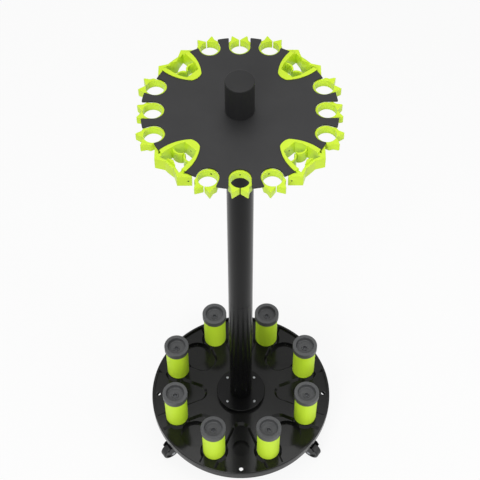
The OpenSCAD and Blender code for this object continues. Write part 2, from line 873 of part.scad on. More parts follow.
module corner_clip(i) {
    bottom_z = plate_z - corner_h;
    gate_cut_r = plate_r - rim_lap - past;
    color(lime) at_corner_clip(i) difference() {
        union() {
            translate([0, 0, bottom_z]) linear_extrude(corner_h) {
                corner_shell(-notch_gap, gate_cut_r);
                corner_gate();
                translate([-clip_pad_w / 2, corner_apex_at])
                    square([clip_pad_w, corner_back_t / 2]);
            }
            translate([0, 0, plate_z - past]) linear_extrude(plate_t + past)
                corner_shell(-notch_gap, corner_tab_r);
            translate([0, 0, plate_top_z]) linear_extrude(rim_h)
                corner_shell(rim_lap, corner_tab_r);
            translate([0, 0, bottom_z]) linear_extrude(corner_h - arm_drop) {
                inner_arm();
                mirror([1, 0]) inner_arm();
            }
        }
        screw_hole(corner_apex_at, corner_back_t, clip_screw_drop);
        at_blocks() screw_hole(block_back_at, block_t, corner_screw_drop);
    }
}

module clip_screws() {
    color(bright_steel) {
        for (i = [1:rod_clip_count]) at_rod_clip(i)
            clip_screw(-notch_r, rod_wall, clip_screw_drop);
        for (i = [1:side_count]) at_corner_clip(i) {
            clip_screw(corner_apex_at, corner_back_t, clip_screw_drop);
            at_blocks() clip_screw(block_back_at, block_t, corner_screw_drop);
        }
    }
}

module at_cup(i) {
    at_polar(cup_circle_r, (i - 0.5) * cup_step) children();
}

module cup_sleeve(i) {
    color(lime) at_cup(i) translate([0, 0, deck_z])
        ring(sleeve_r, sleeve_r - sleeve_wall, sleeve_h);
}

module cup_cap(i) {
    spigot_r_out = sleeve_r - sleeve_wall - fit_gap;
    bolt_head_r = head_rate * post_bolt_r;
    color(cap_grey) at_cup(i) translate([0, 0, sleeve_top_z]) difference() {
        union() {
            cylinder(r = cap_r, h = cap_h);
            translate([0, 0, -spigot_h]) cylinder(r = spigot_r_out, h = spigot_h + past);
        }
        translate([0, 0, dish_floor_z + dish_boss_h])
            cylinder(r = dish_r, h = dish_depth - dish_boss_h + past);
        difference() {
            translate([0, 0, dish_floor_z])
                cylinder(r1 = dish_r - dish_boss_h, r2 = dish_r, h = dish_boss_h);
            translate([0, 0, dish_floor_z - past]) cylinder(r = dish_boss_r, h = dish_boss_h + past);
        }
        translate([0, 0, bolt_seat_z]) cylinder(r = bolt_head_r + fit_gap, h = dish_depth);
        translate([0, 0, -spigot_h - past]) cylinder(r = post_bolt_r + fit_gap, h = spigot_h + cap_h);
        translate([0, 0, -spigot_h - past])
            ring(spigot_r_out - cap_wall, bolt_head_r + cap_wall, spigot_h);
    }
}

module cup_bolts() {
    color(steel_black) for (i = [1:cup_count]) at_cup(i)
        translate([0, 0, sleeve_top_z + bolt_seat_z])
            pan_screw(head_rate * post_bolt_r, bolt_head_h, post_bolt_r,
                      sleeve_h + bolt_seat_z + tray_h - base_wall);
}

module mount_screw_places() {
    for (x = [-1, 1], y = [-1, 1])
        translate([x * mount_screw_y, y * mount_screw_x, 0]) children();
}

module caster_mounts() {
    color(bright_steel) at_casters() difference() {
        union() {
            translate([-mount_w / 2, -mount_l / 2, mount_z]) cube([mount_w, mount_l, mount_t]);
            translate([0, 0, race_z]) cylinder(r = crown_r, h = race_h + past);
            translate([0, 0, crown_z - race_gap - kingpin_head_h])
                cylinder(r = kingpin_r, h = race_z - crown_z + 2 * race_gap + kingpin_head_h);
            translate([0, 0, crown_z - race_gap - kingpin_head_h])
                cylinder(r = kingpin_head_r, h = kingpin_head_h);
        }
        mount_screw_places()
            translate([0, 0, mount_z - past]) cylinder(r = mount_screw_r + fit_gap, h = mount_t + 2 * past);
    }
}

module at_caster(i) {
    rotate(caster_turn(i)) translate([0, -kingpin_at, 0]) children();
}

// Side view of a cheek: x runs outward along the trail and y is height
module cheek_outline() {
    difference() {
        union() {
            translate([trail, axle_z]) circle(cheek_end_r);
            polygon([
                [trail - cheek_end_r, axle_z],
                [-cheek_back, crown_z],
                [-cheek_back, crown_z + crown_t],
                [crown_front, crown_z + crown_t],
                [cheek_front, crown_z - cheek_front_drop],
                [trail + cheek_end_r, axle_z]
            ]);
        }
        translate([trail, axle_z]) circle(axle_r + fit_gap);
    }
}

module caster_fork(i) {
    color(steel_black) at_caster(i) difference() {
        union() {
            for (x = [-fork_out, fork_in]) translate([x, 0, 0])
                rotate([90, 0, 90]) mirror([1, 0, 0]) linear_extrude(cheek_t) cheek_outline();
            translate([-fork_out, -crown_front, crown_z]) cube([2 * fork_out, crown_front, crown_t]);
            translate([0, 0, crown_z]) cylinder(r = crown_r, h = crown_t);
        }
        translate([0, 0, crown_z - past]) cylinder(r = kingpin_r + run_gap, h = crown_t + 2 * past);
    }
}

module wheel_profile() {
    difference() {
        translate([axle_r + run_gap, -wheel_w / 2]) square([wheel_r - axle_r - run_gap, wheel_w]);
        for (m = [0, 1]) mirror([0, m]) {
            translate([wheel_r - tread_edge_r, wheel_w / 2 - tread_edge_r]) difference() {
                square(tread_edge_r + past);
                circle(tread_edge_r);
            }
            translate([axle_r + wheel_hub_t, wheel_w / 2 - wheel_recess])
                square([wheel_r - axle_r - wheel_hub_t - tread_t, wheel_recess + past]);
        }
    }
}

module caster_wheel(i) {
    color(plastic_black) at_caster(i) translate([0, -trail, axle_z]) rotate([0, 90, 0])
        rotate_extrude() wheel_profile();
}

module caster_axle(i) {
    color(bright_steel) at_caster(i) translate([0, -trail, axle_z]) rotate([0, 90, 0]) {
        cylinder(r = axle_r, h = 2 * fork_out, center = true);
        for (m = [0, 1]) mirror([0, 0, m])
            translate([0, 0, fork_out]) cylinder(r1 = axle_head_r, r2 = axle_r, h = axle_head_h);
    }
}

base_tray();
base_ring();
base_screws();
foot_flange();
flange_screws();
column_tube(flange_top_z, tube_l);  // column_lower
column_tube(seam_1_z, tube_l);  // column_middle
column_tube(seam_2_z, upper_tube_l);  // column_upper
tube_joiners();
tie_rod();
tie_nut();
top_plate();
column_cap();
for (i = [1:rod_clip_count]) rod_clip(i);
for (i = [1:side_count]) corner_clip(i);
clip_screws();
for (i = [1:cup_count]) cup_sleeve(i);
for (i = [1:cup_count]) cup_cap(i);
cup_bolts();
caster_mounts();
for (i = [1:caster_count]) caster_fork(i);
for (i = [1:caster_count]) caster_wheel(i);
for (i = [1:caster_count]) caster_axle(i);
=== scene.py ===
import json
import math

import bmesh
import bpy
from mathutils import Matrix, Vector

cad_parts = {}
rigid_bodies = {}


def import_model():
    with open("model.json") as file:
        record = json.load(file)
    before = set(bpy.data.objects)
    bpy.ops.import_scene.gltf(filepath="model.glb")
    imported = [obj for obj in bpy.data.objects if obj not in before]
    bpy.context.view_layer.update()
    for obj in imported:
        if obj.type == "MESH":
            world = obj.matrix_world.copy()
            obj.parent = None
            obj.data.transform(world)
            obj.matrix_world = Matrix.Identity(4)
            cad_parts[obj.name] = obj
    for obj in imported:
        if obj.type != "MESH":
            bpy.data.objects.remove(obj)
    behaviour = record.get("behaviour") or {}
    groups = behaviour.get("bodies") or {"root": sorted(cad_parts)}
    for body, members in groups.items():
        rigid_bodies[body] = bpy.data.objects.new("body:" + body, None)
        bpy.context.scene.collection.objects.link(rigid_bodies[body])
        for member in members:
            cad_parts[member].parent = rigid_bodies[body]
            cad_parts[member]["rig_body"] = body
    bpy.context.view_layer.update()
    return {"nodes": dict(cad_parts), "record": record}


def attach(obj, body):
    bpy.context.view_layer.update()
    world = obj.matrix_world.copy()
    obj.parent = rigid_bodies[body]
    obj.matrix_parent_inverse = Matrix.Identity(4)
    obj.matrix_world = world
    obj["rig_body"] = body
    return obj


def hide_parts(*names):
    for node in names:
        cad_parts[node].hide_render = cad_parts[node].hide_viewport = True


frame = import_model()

MM = 0.001
SIDES = 4
CUPS = 8
ROD_CLIPS = 12

# Sizes and places in millimetres and angles in degrees, as in the CAD source

# Base and casters
FLANGE_TOP_Z = 98
FLANGE_SCREW_AT = 30
RING_Z = 54
BASE_SCREW_AT = 105
KINGPIN_AT = 175
CASTER_TURNS = (55, 125, 235, -55)
MOUNT_Z = 51.5
MOUNT_SCREW_ALONG = 14.5
MOUNT_SCREW_ACROSS = 12.5

# Rod cups
CUP_CIRCLE_R = 154.2
SLEEVE_H = 91
SLEEVE_TOP_Z = 177
BOLT_SEAT_H = 2.5
CUP_BOLT_GRIP = 15

# Top plate, its lugs and the notches of the rod clips
PLATE_Z = 1048
LUG_T = 3
NOTCH_R = 18.4
NOTCH_MID_AT = 141.8
NOTCH_SIDE_AT = 148
NOTCH_ANGLE = 20
FIRST_SIDE = 180
FIRST_CORNER = 225
QUARTER = 90

# Walls of the clips and their screws
ROD_WALL = 4.1
CORNER_WALL = 11.3
CORNER_WALL_AT = 111.5
BLOCK_WALL = 6.5
BLOCK_FACE_AT = 136.5
BLOCK_TURN = 45
SCREW_DROP = 7.5
BLOCK_SCREW_AT = 81.5
BLOCK_SCREW_DROP = 12
SCREW_SEAT = 0.2
PAST_LUG = 1
CLIP_HEAD_R = 1.7
CLIP_HEAD_H = 1.0
CLIP_SHANK_R = 1.2

# Head radius, head height, shank radius and length of the other screws
FLANGE_SCREW = (3.06, 1.5, 1.8, 18)
CUP_BOLT = (4.25, 2.0, 2.5, SLEEVE_H + BOLT_SEAT_H + CUP_BOLT_GRIP)
BASE_SCREW = (4.4, 2.2, 2.2, 14)
MOUNT_SCREW = (3.06, 1.8, 1.8, 7)


# Shader groups

CLOUD_SCALE = 9.0
GRAIN_RELIEF = 0.0002
FOAM_RELIEF = 0.0003
SCUFF_SCALE = 30.0
SCUFF_TURN = (0.15, 0.1, 0.9)
SCUFF_STRETCH = (1.0, 14.0, 7.0)


def new_group(name, inputs, outputs):
    """An empty shader group with named inputs, given as name, kind and default."""
    group = bpy.data.node_groups.new(name, "ShaderNodeTree")
    for label, kind, default in inputs:
        socket = group.interface.new_socket(label, in_out="INPUT", socket_type=kind)
        socket.default_value = default
    for label, kind in outputs:
        group.interface.new_socket(label, in_out="OUTPUT", socket_type=kind)
    return group, group.nodes.new("NodeGroupInput"), group.nodes.new("NodeGroupOutput")


def noise(group, scale, detail, vector, roughness=0.5):
    """A noise texture on a vector, whose scale is a number or a socket."""
    node = group.nodes.new("ShaderNodeTexNoise")
    node.inputs["Detail"].default_value = detail
    node.inputs["Roughness"].default_value = roughness
    if isinstance(scale, (int, float)):
        node.inputs["Scale"].default_value = scale
    else:
        group.links.new(scale, node.inputs["Scale"])
    group.links.new(vector, node.inputs["Vector"])
    return node


def map_range(group, value, low, high, to_low, to_high):
    """A clamped Map Range, whose target values are numbers or sockets."""
    node = group.nodes.new("ShaderNodeMapRange")
    group.links.new(value, node.inputs["Value"])
    node.inputs["From Min"].default_value = low
    node.inputs["From Max"].default_value = high
    for label, target in (("To Min", to_low), ("To Max", to_high)):
        if isinstance(target, (int, float)):
            node.inputs[label].default_value = target
        else:
            group.links.new(target, node.inputs[label])
    return node


def math_node(group, operation, first, second):
    """A Math node on two values, each a number or a socket."""
    node = group.nodes.new("ShaderNodeMath")
    node.operation = operation
    for i, value in enumerate((first, second)):
        if isinstance(value, (int, float)):
            node.inputs[i].default_value = value
        else:
            group.links.new(value, node.inputs[i])
    return node


def make_grain_group():
    """Fine surface grain as a normal, with a slow variation from place to place."""
    group, given, result = new_group(
        "surface_grain",
        [("Grain scale", "NodeSocketFloat", 900.0), ("Grain depth", "NodeSocketFloat", 0.1),
         ("Cloud scale", "NodeSocketFloat", CLOUD_SCALE)],
        [("Normal", "NodeSocketVector"), ("Cloud", "NodeSocketFloat")])
    place = group.nodes.new("ShaderNodeTexCoord").outputs["Object"]
    fine = noise(group, given.outputs["Grain scale"], 2.0, place)
    slow = noise(group, given.outputs["Cloud scale"], 3.0, place)
    bump = group.nodes.new("ShaderNodeBump")
    bump.inputs["Distance"].default_value = GRAIN_RELIEF
    group.links.new(given.outputs["Grain depth"], bump.inputs["Strength"])
    group.links.new(fine.outputs["Fac"], bump.inputs["Height"])
    group.links.new(bump.outputs["Normal"], result.inputs["Normal"])
    cloud = map_range(group, slow.outputs["Fac"], 0.3, 0.7, 0.0, 1.0)
    group.links.new(cloud.outputs["Result"], result.inputs["Cloud"])
    return group


def make_dust_group():
    """A mask of the thin dust that settles on faces that look upward."""
    group, given, result = new_group(
        "settled_dust", [("Amount", "NodeSocketFloat", 0.1)], [("Mask", "NodeSocketFloat")])
    where = group.nodes.new("ShaderNodeTexCoord")
    split = group.nodes.new("ShaderNodeSeparateXYZ")
    group.links.new(where.outputs["Normal"], split.inputs["Vector"])
    upward = map_range(group, split.outputs["Z"], 0.55, 0.98, 0.0, 1.0)
    patches = noise(group, 26.0, 6.0, where.outputs["Object"], 0.65)
    broken = map_range(group, patches.outputs["Fac"], 0.42, 0.68, 0.15, 1.0)
    mask = math_node(group, "MULTIPLY", upward.outputs["Result"], broken.outputs["Result"])
    scaled = math_node(group, "MULTIPLY", mask.outputs["Value"], given.outputs["Amount"])
    group.links.new(scaled.outputs["Value"], result.inputs["Mask"])
    return group


def make_scuff_group():
    """A mask of faint handling marks: thin, long and mostly level."""
    group, given, result = new_group(
        "handling_scuffs",
        [("Scale", "NodeSocketFloat", SCUFF_SCALE), ("Amount", "NodeSocketFloat", 0.1)],
        [("Mask", "NodeSocketFloat")])
    place = group.nodes.new("ShaderNodeTexCoord").outputs["Object"]
    turn = group.nodes.new("ShaderNodeMapping")
    turn.inputs["Rotation"].default_value = SCUFF_TURN
    turn.inputs["Scale"].default_value = SCUFF_STRETCH
    group.links.new(place, turn.inputs["Vector"])
    marks = noise(group, given.outputs["Scale"], 4.0, turn.outputs["Vector"], 0.6)
    thin = map_range(group, marks.outputs["Fac"], 0.62, 0.72, 0.0, 1.0)
    scaled = math_node(group, "MULTIPLY", thin.outputs["Result"], given.outputs["Amount"])
    group.links.new(scaled.outputs["Value"], result.inputs["Mask"])
    return group


def make_foam_group():
    """The closed cells of skinned foam, as a normal and a speckle."""
    group, given, result = new_group(
        "foam_cells",
        [("Cell scale", "NodeSocketFloat", 1400.0), ("Depth", "NodeSocketFloat", 0.2)],
        [("Normal", "NodeSocketVector"), ("Speckle", "NodeSocketFloat")])
    place = group.nodes.new("ShaderNodeTexCoord").outputs["Object"]
    cells = group.nodes.new("ShaderNodeTexVoronoi")
    group.links.new(given.outputs["Cell scale"], cells.inputs["Scale"])
    group.links.new(place, cells.inputs["Vector"])
    bump = group.nodes.new("ShaderNodeBump")
    bump.inputs["Distance"].default_value = FOAM_RELIEF
    group.links.new(given.outputs["Depth"], bump.inputs["Strength"])
    group.links.new(cells.outputs["Distance"], bump.inputs["Height"])
    group.links.new(bump.outputs["Normal"], result.inputs["Normal"])
    speckle = map_range(group, cells.outputs["Distance"], 0.1, 0.7, 0.0, 1.0)
    group.links.new(speckle.outputs["Result"], result.inputs["Speckle"])
    return group


GRAIN = make_grain_group()
DUST = make_dust_group()
SCUFFS = make_scuff_group()
FOAM = make_foam_group()


# Finishes

DUST_COLOUR = (150, 148, 143)
DULLER = 1.18
FOAM_CELLS = 1500.0
FOAM_DEPTH = 0.25
FOAM_CLOUDS = 18.0
FOAM_DRIFT = 0.35
FOAM_DULLER = 0.12


def linear(red, green, blue):
    """A colour written in screen values from 0 to 255, as the shader wants it."""
    def channel(value):
        share = value / 255
        return share / 12.92 if share <= 0.04045 else ((share + 0.055) / 1.055) ** 2.4
    return (channel(red), channel(green), channel(blue), 1.0)


def place_group(tree, group, **values):
    """Places a shader group in a material; its inputs are named with underscores."""
    node = tree.nodes.new("ShaderNodeGroup")
    node.node_tree = group
    for label, value in values.items():
        node.inputs[label.replace("_", " ")].default_value = value
    return node


def mix_colours(tree, share, first, second):
    """Colours mixed by a share; each colour is a value or a socket."""
    node = tree.nodes.new("ShaderNodeMix")
    node.data_type = "RGBA"
    tree.links.new(share, node.inputs["Factor"])
    for label, colour in (("A", first), ("B", second)):
        socket = next(s for s in node.inputs if s.name == label and s.type == "RGBA")
        if isinstance(colour, tuple):
            socket.default_value = colour
        else:
            tree.links.new(colour, socket)
    return next(s for s in node.outputs if s.type == "RGBA")


def new_finish(name, metallic=0.0, specular=0.5):
    """A material with its shader, whose even values are set on the shader itself."""
    material = bpy.data.materials.new(name)
    material.use_nodes = True
    shader = material.node_tree.nodes["Principled BSDF"]
    shader.inputs["Metallic"].default_value = metallic
    shader.inputs["Specular IOR Level"].default_value = specular
    return material, material.node_tree, shader


def solid_finish(name, colour, shade, roughness, grain_scale, grain_depth, dust, scuffs,
                 metallic=0.0, specular=0.5):
    """A moulded, painted or plated finish: two close colours that drift into each
    other, fine grain, scuffs that dull the gloss and a little settled dust."""
    material, tree, shader = new_finish(name, metallic, specular)
    grain = place_group(tree, GRAIN, Grain_scale=grain_scale, Grain_depth=grain_depth,
                        Cloud_scale=CLOUD_SCALE)
    settled = place_group(tree, DUST, Amount=dust)
    marks = place_group(tree, SCUFFS, Scale=SCUFF_SCALE, Amount=scuffs)
    base = mix_colours(tree, grain.outputs["Cloud"], linear(*colour), linear(*shade))
    dusty = mix_colours(tree, settled.outputs["Mask"], base, linear(*DUST_COLOUR))
    tree.links.new(dusty, shader.inputs["Base Color"])
    smooth = map_range(tree, grain.outputs["Cloud"], 0.0, 1.0, roughness, roughness * DULLER)
    dulled = math_node(tree, "ADD", smooth.outputs["Result"], marks.outputs["Mask"])
    faded = math_node(tree, "ADD", dulled.outputs["Value"], settled.outputs["Mask"])
    tree.links.new(faded.outputs["Value"], shader.inputs["Roughness"])
    tree.links.new(grain.outputs["Normal"], shader.inputs["Normal"])
    return material


def foam_finish(name, colour, shade, roughness):
    """Skinned foam, softly speckled by its cells."""
    material, tree, shader = new_finish(name)
    cells = place_group(tree, FOAM, Cell_scale=FOAM_CELLS, Depth=FOAM_DEPTH)
    cloud = place_group(tree, GRAIN, Cloud_scale=FOAM_CLOUDS)
    base = mix_colours(tree, cells.outputs["Speckle"], linear(*colour), linear(*shade))
    drift = map_range(tree, cloud.outputs["Cloud"], 0.0, 1.0, 0.0, FOAM_DRIFT)
    tinted = mix_colours(tree, drift.outputs["Result"], base, linear(*shade))
    tree.links.new(tinted, shader.inputs["Base Color"])
    rough = map_range(tree, cells.outputs["Speckle"], 0.0, 1.0,
                      roughness, roughness + FOAM_DULLER)
    tree.links.new(rough.outputs["Result"], shader.inputs["Roughness"])
    tree.links.new(cells.outputs["Normal"], shader.inputs["Normal"])
    return material


FINISHES = {
    "base_plastic": solid_finish(
        "gloss_black_moulding", (23, 23, 23), (19, 19, 19), roughness=0.12,
        grain_scale=700.0, grain_depth=0.02, dust=0.006, scuffs=0.05, specular=0.23),
    "black_metal": solid_finish(
        "black_enamel", (15, 15, 16), (11, 11, 12), roughness=0.2,
        grain_scale=260.0, grain_depth=0.05, dust=0.004, scuffs=0.04, specular=0.12),
    "plate_metal": solid_finish(
        "grey_powder_coat", (41, 41, 42), (36, 36, 37), roughness=0.42,
        grain_scale=1500.0, grain_depth=0.12, dust=0.01, scuffs=0.05, specular=0.25),
    "cap_black": solid_finish(
        "matt_black_moulding", (27, 27, 28), (23, 23, 24), roughness=0.5,
        grain_scale=1300.0, grain_depth=0.12, dust=0.01, scuffs=0.06, specular=0.25),
    "lime_plastic": solid_finish(
        "lime_moulding", (204, 233, 48), (196, 226, 42), roughness=0.3,
        grain_scale=1100.0, grain_depth=0.05, dust=0.0, scuffs=0.03, specular=0.3),
    "lime_foam": foam_finish("lime_foam", (218, 253, 62), (207, 243, 50), roughness=0.5),
    "grey_plastic": solid_finish(
        "grey_moulding", (86, 87, 88), (78, 79, 80), roughness=0.4,
        grain_scale=1200.0, grain_depth=0.08, dust=0.01, scuffs=0.04, specular=0.3),
    "wheel_plastic": solid_finish(
        "wheel_rubber", (26, 26, 27), (21, 21, 22), roughness=0.34,
        grain_scale=900.0, grain_depth=0.1, dust=0.03, scuffs=0.1, specular=0.35),
    "bright_steel": solid_finish(
        "zinc_plated_steel", (150, 152, 155), (136, 138, 142), roughness=0.3,
        grain_scale=500.0, grain_depth=0.06, dust=0.01, scuffs=0.08, metallic=1.0),
    "dark_steel": solid_finish(
        "blackened_steel", (66, 67, 69), (56, 57, 59), roughness=0.3,
        grain_scale=500.0, grain_depth=0.06, dust=0.01, scuffs=0.08, metallic=1.0),
}

SLOT_OF = {part["node"]: part["material_slot"] for part in frame["record"]["subparts"]}


def finish_node(name):
    """Gives a CAD node the finish of its slot."""
    node = frame["nodes"][name]
    node.data.materials.clear()
    node.data.materials.append(FINISHES[SLOT_OF[name]])


def add_piece(name, mesh_maker, body, slot):
    """Makes a mesh in the shared frame, gives it its finish and lets it ride."""
    mesh = bpy.data.meshes.new(name)
    piece = bpy.data.objects.new(name, mesh)
    bpy.context.scene.collection.objects.link(piece)
    work = bmesh.new()
    mesh_maker(work)
    work.to_mesh(mesh)
    work.free()
    mesh.materials.append(FINISHES[slot])
    for face in mesh.polygons:
        face.use_smooth = True
    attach(piece, body)
    return piece


# Rounded copies of the CAD nodes

# Points closer than this, in metres, become one
MERGE = 2e-5
# Faces that meet at less than FLAT are joined, edges over HARD may be rounded, and
# edges that still turn by more than KEPT_SHARP stay sharp in the shading
FLAT = math.radians(0.4)
HARD = math.radians(28)
KEPT_SHARP = math.radians(50)
# Least upright share of a level face's normal
LEVEL = 0.999
SHORTEST_CHAIN = 4
ROUND_STEPS = 2


def any_edge(edge):
    """Takes every hard edge."""
    return True


def keep_corners_sharp(work):
    """Marks the edges that shading must not run over."""
    for edge in work.edges:
        if edge.is_manifold and edge.calc_face_angle(0) > KEPT_SHARP:
            edge.smooth = False


def level_rim(edge):
    """Whether an edge lies level, between a level face and one that isn't."""
    first, second = edge.link_faces
    start, end = edge.verts
    return (abs(start.co.z - end.co.z) < MERGE
            and (abs(first.normal.z) > LEVEL) != (abs(second.normal.z) > LEVEL))


def touching_chains(edges):
    """Splits edges into chains that touch one another, in a steady order. Chains of
    only a few edges are left out."""
    left = set(edges)
    chains = []
    for first in edges:
        if first not in left:
            continue
        left.remove(first)
        chain = [first]
        for edge in chain:
            for vert in edge.verts:
                for near in vert.link_edges:
                    if near in left:
                        left.remove(near)
                        chain.append(near)
        chains.append(chain)
    return [chain for chain in chains if len(chain) >= SHORTEST_CHAIN]


def rounded(node_name, width, chosen, apart=True):
    """A copy of a CAD node whose chosen hard edges are rounded, which takes its place.
    Chains rounded apart are held back only by their own tight corners."""
    source = frame["nodes"][node_name]

    def shape(work):
        work.from_mesh(source.data)
        bmesh.ops.remove_doubles(work, verts=work.verts, dist=MERGE)
        bmesh.ops.dissolve_limit(work, angle_limit=FLAT, verts=work.verts, edges=work.edges)
        edges = [e for e in work.edges if e.is_manifold and e.calc_face_angle(0) > HARD]
        for edge in work.edges:
            edge.smooth = True
        for edge in edges:
            edge.smooth = chosen(edge)
        picked = [e for e in edges if e.smooth]
        for chain in touching_chains(picked) if apart else [picked]:
            bmesh.ops.bevel(work, geom=chain, offset=width * MM, offset_type="OFFSET",
                            segments=ROUND_STEPS, profile=0.5, affect="EDGES",
                            clamp_overlap=True, material=-1)
        keep_corners_sharp(work)

    piece = add_piece(node_name + "_finished", shape, source["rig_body"], SLOT_OF[node_name])
    shading = piece.modifiers.new("even_normals", "WEIGHTED_NORMAL")
    shading.keep_sharp = True
    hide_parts(node_name)


# Screws

# Shares of a head's radius and height, from its flat middle down to its seat
HEAD_CURVE = ((0.64, 1), (0.82, 0.9), (0.95, 0.66), (1, 0.34), (1, 0))
# Shares of the head's radius for the cross, and of its height for the recess
CROSS_ARM = 0.13
CROSS_REACH = 0.5
RECESS_DEPTH = 0.55
RECESS_TAPER = 0.7
TIP_H = 0.6
TIP_TAPER = 0.7
SCREW_SIDES = 24
SCREW_MERGE = 0.001


def screw_mesh(head_r, head_h, shank_r, length):
    """A domed screw with a cross recess, its head on z = 0. Sizes in millimetres."""
    work = bmesh.new()
    outline = [(across * head_r, up * head_h) for across, up in HEAD_CURVE]
    outline += [(shank_r, 0), (shank_r, TIP_H - length), (TIP_TAPER * shank_r, -length),
                (0, -length)]
    chain = [work.verts.new((r, 0, z)) for r, z in outline]
    wires = [work.edges.new(pair) for pair in zip(chain, chain[1:])]
    bmesh.ops.spin(work, geom=chain + wires, axis=(0, 0, 1), cent=(0, 0, 0),
                   angle=math.tau, steps=SCREW_SIDES, use_merge=True)
    bmesh.ops.remove_doubles(work, verts=work.verts, dist=SCREW_MERGE)
    rim = [e for e in work.edges if len(e.link_faces) == 1]
    arm, reach = CROSS_ARM * head_r, CROSS_REACH * head_r
    corners = [(arm, arm), (arm, reach), (-arm, reach), (-arm, arm), (-reach, arm),
               (-reach, -arm), (-arm, -arm), (-arm, -reach), (arm, -reach), (arm, -arm),
               (reach, -arm), (reach, arm)]
    floor_z = (1 - RECESS_DEPTH) * head_h
    mouth = [work.verts.new((x, y, head_h)) for x, y in corners]
    floor = [work.verts.new((RECESS_TAPER * x, RECESS_TAPER * y, floor_z))
             for x, y in corners]
    mouth_edges = [work.edges.new((mouth[i - 1], mouth[i])) for i in range(len(mouth))]
    floor_edges = [work.edges.new((floor[i - 1], floor[i])) for i in range(len(floor))]
    bmesh.ops.triangle_fill(work, edges=rim + mouth_edges, use_beauty=True, normal=(0, 0, 1))
    bmesh.ops.bridge_loops(work, edges=mouth_edges + floor_edges)
    bmesh.ops.contextual_create(work, geom=floor_edges)
    bmesh.ops.recalc_face_normals(work, faces=work.faces)
    bmesh.ops.transform(work, matrix=Matrix.Scale(MM, 4), verts=work.verts)
    mesh = bpy.data.meshes.new("screw_pattern")
    work.to_mesh(mesh)
    work.free()
    return mesh


def set_screws(work, screw, places):
    """Copies a screw to each place, whose frame has +Z out of the head."""
    for place in places:
        start = len(work.verts)
        work.from_mesh(screw)
        work.verts.ensure_lookup_table()
        bmesh.ops.transform(work, matrix=place, verts=work.verts[start:])
    keep_corners_sharp(work)


def mm_place(x, y, z):
    """A place given in millimetres."""
    return Matrix.Translation(Vector((x, y, z)) * MM)


def turned(angle):
    """A turn about the column's axis, in degrees."""
    return Matrix.Rotation(math.radians(angle), 4, "Z")


def screw_set(node_name, groups):
    """The screws of one CAD node, as pairs of a screw's four sizes and its places."""
    def shape(work):
        for sizes, places in groups:
            pattern = screw_mesh(*sizes)
            set_screws(work, pattern, places)
            bpy.data.meshes.remove(pattern)

    source = frame["nodes"][node_name]
    piece = add_piece(node_name + "_finished", shape, source["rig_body"], SLOT_OF[node_name])
    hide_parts(node_name)


def outward(frame_matrix, y, z, across=0.0):
    """A place on a clip's wall, with the screw's head toward +Y of the clip's frame."""
    return frame_matrix @ mm_place(across, y, z) @ Matrix.Rotation(-math.pi / 2, 4, "X")


def rod_clip_frame(i):
    """The frame of a rod clip; each side of the plate has three."""
    side, place = divmod(i - 1, 3)
    at = NOTCH_MID_AT if place == 1 else NOTCH_SIDE_AT
    turn = FIRST_SIDE + side * QUARTER + (place - 1) * NOTCH_ANGLE
    return turned(turn) @ mm_place(0, at, 0)


def clip_screw_places():
    """Places in the rod clips' walls, the corner clips' walls and their end blocks."""
    sunk = CLIP_HEAD_H + SCREW_SEAT
    rod_places = [outward(rod_clip_frame(i), ROD_WALL - NOTCH_R - sunk, PLATE_Z - SCREW_DROP)
                  for i in range(1, ROD_CLIPS + 1)]
    wall_places, block_places = [], []
    for i in range(SIDES):
        corner = turned(FIRST_CORNER + i * QUARTER)
        wall_places.append(outward(corner, CORNER_WALL_AT - sunk, PLATE_Z - SCREW_DROP))
        for side in (1, -1):
            block_places.append(outward(corner @ turned(side * BLOCK_TURN),
                                        BLOCK_FACE_AT - sunk, PLATE_Z - BLOCK_SCREW_DROP,
                                        side * BLOCK_SCREW_AT))
    return rod_places, wall_places, block_places


def clip_screw_size(wall):
    """The sizes of a screw that goes through a clip's wall and its lug."""
    return (CLIP_HEAD_R, CLIP_HEAD_H, CLIP_SHANK_R,
            wall - CLIP_HEAD_H - SCREW_SEAT + LUG_T + PAST_LUG)


def flange_screw_places():
    """Places round the flange, where each cross is turned its own way."""
    return [mm_place(x * FLANGE_SCREW_AT, y * FLANGE_SCREW_AT, FLANGE_TOP_Z)
            @ turned(20 * x + 35 * y)
            for x in (-1, 1) for y in (-1, 1)]


def on_cup_line(i, radius, z):
    """A place on the line from the column's axis through one of the cups."""
    return turned((i + 0.5) * 360 / CUPS) @ mm_place(0, -radius, z)


def cup_bolt_places():
    """The middles of the dished caps."""
    return [on_cup_line(i, CUP_CIRCLE_R, SLEEVE_TOP_Z + BOLT_SEAT_H) for i in range(CUPS)]


HEAD_DOWN = Matrix.Rotation(math.pi, 4, "X")


def base_screw_places():
    """Places under the ring, whose screws hold the tray."""
    return [on_cup_line(i, BASE_SCREW_AT, RING_Z) @ HEAD_DOWN for i in range(CUPS)]


def mount_screw_places():
    """Places at the corners of the four casters' mounting plates."""
    return [turned(turn)
            @ mm_place(x * MOUNT_SCREW_ACROSS, -KINGPIN_AT + y * MOUNT_SCREW_ALONG, MOUNT_Z)
            @ HEAD_DOWN
            for turn in CASTER_TURNS for x in (-1, 1) for y in (-1, 1)]


# All the pieces

for name in frame["nodes"]:
    finish_node(name)

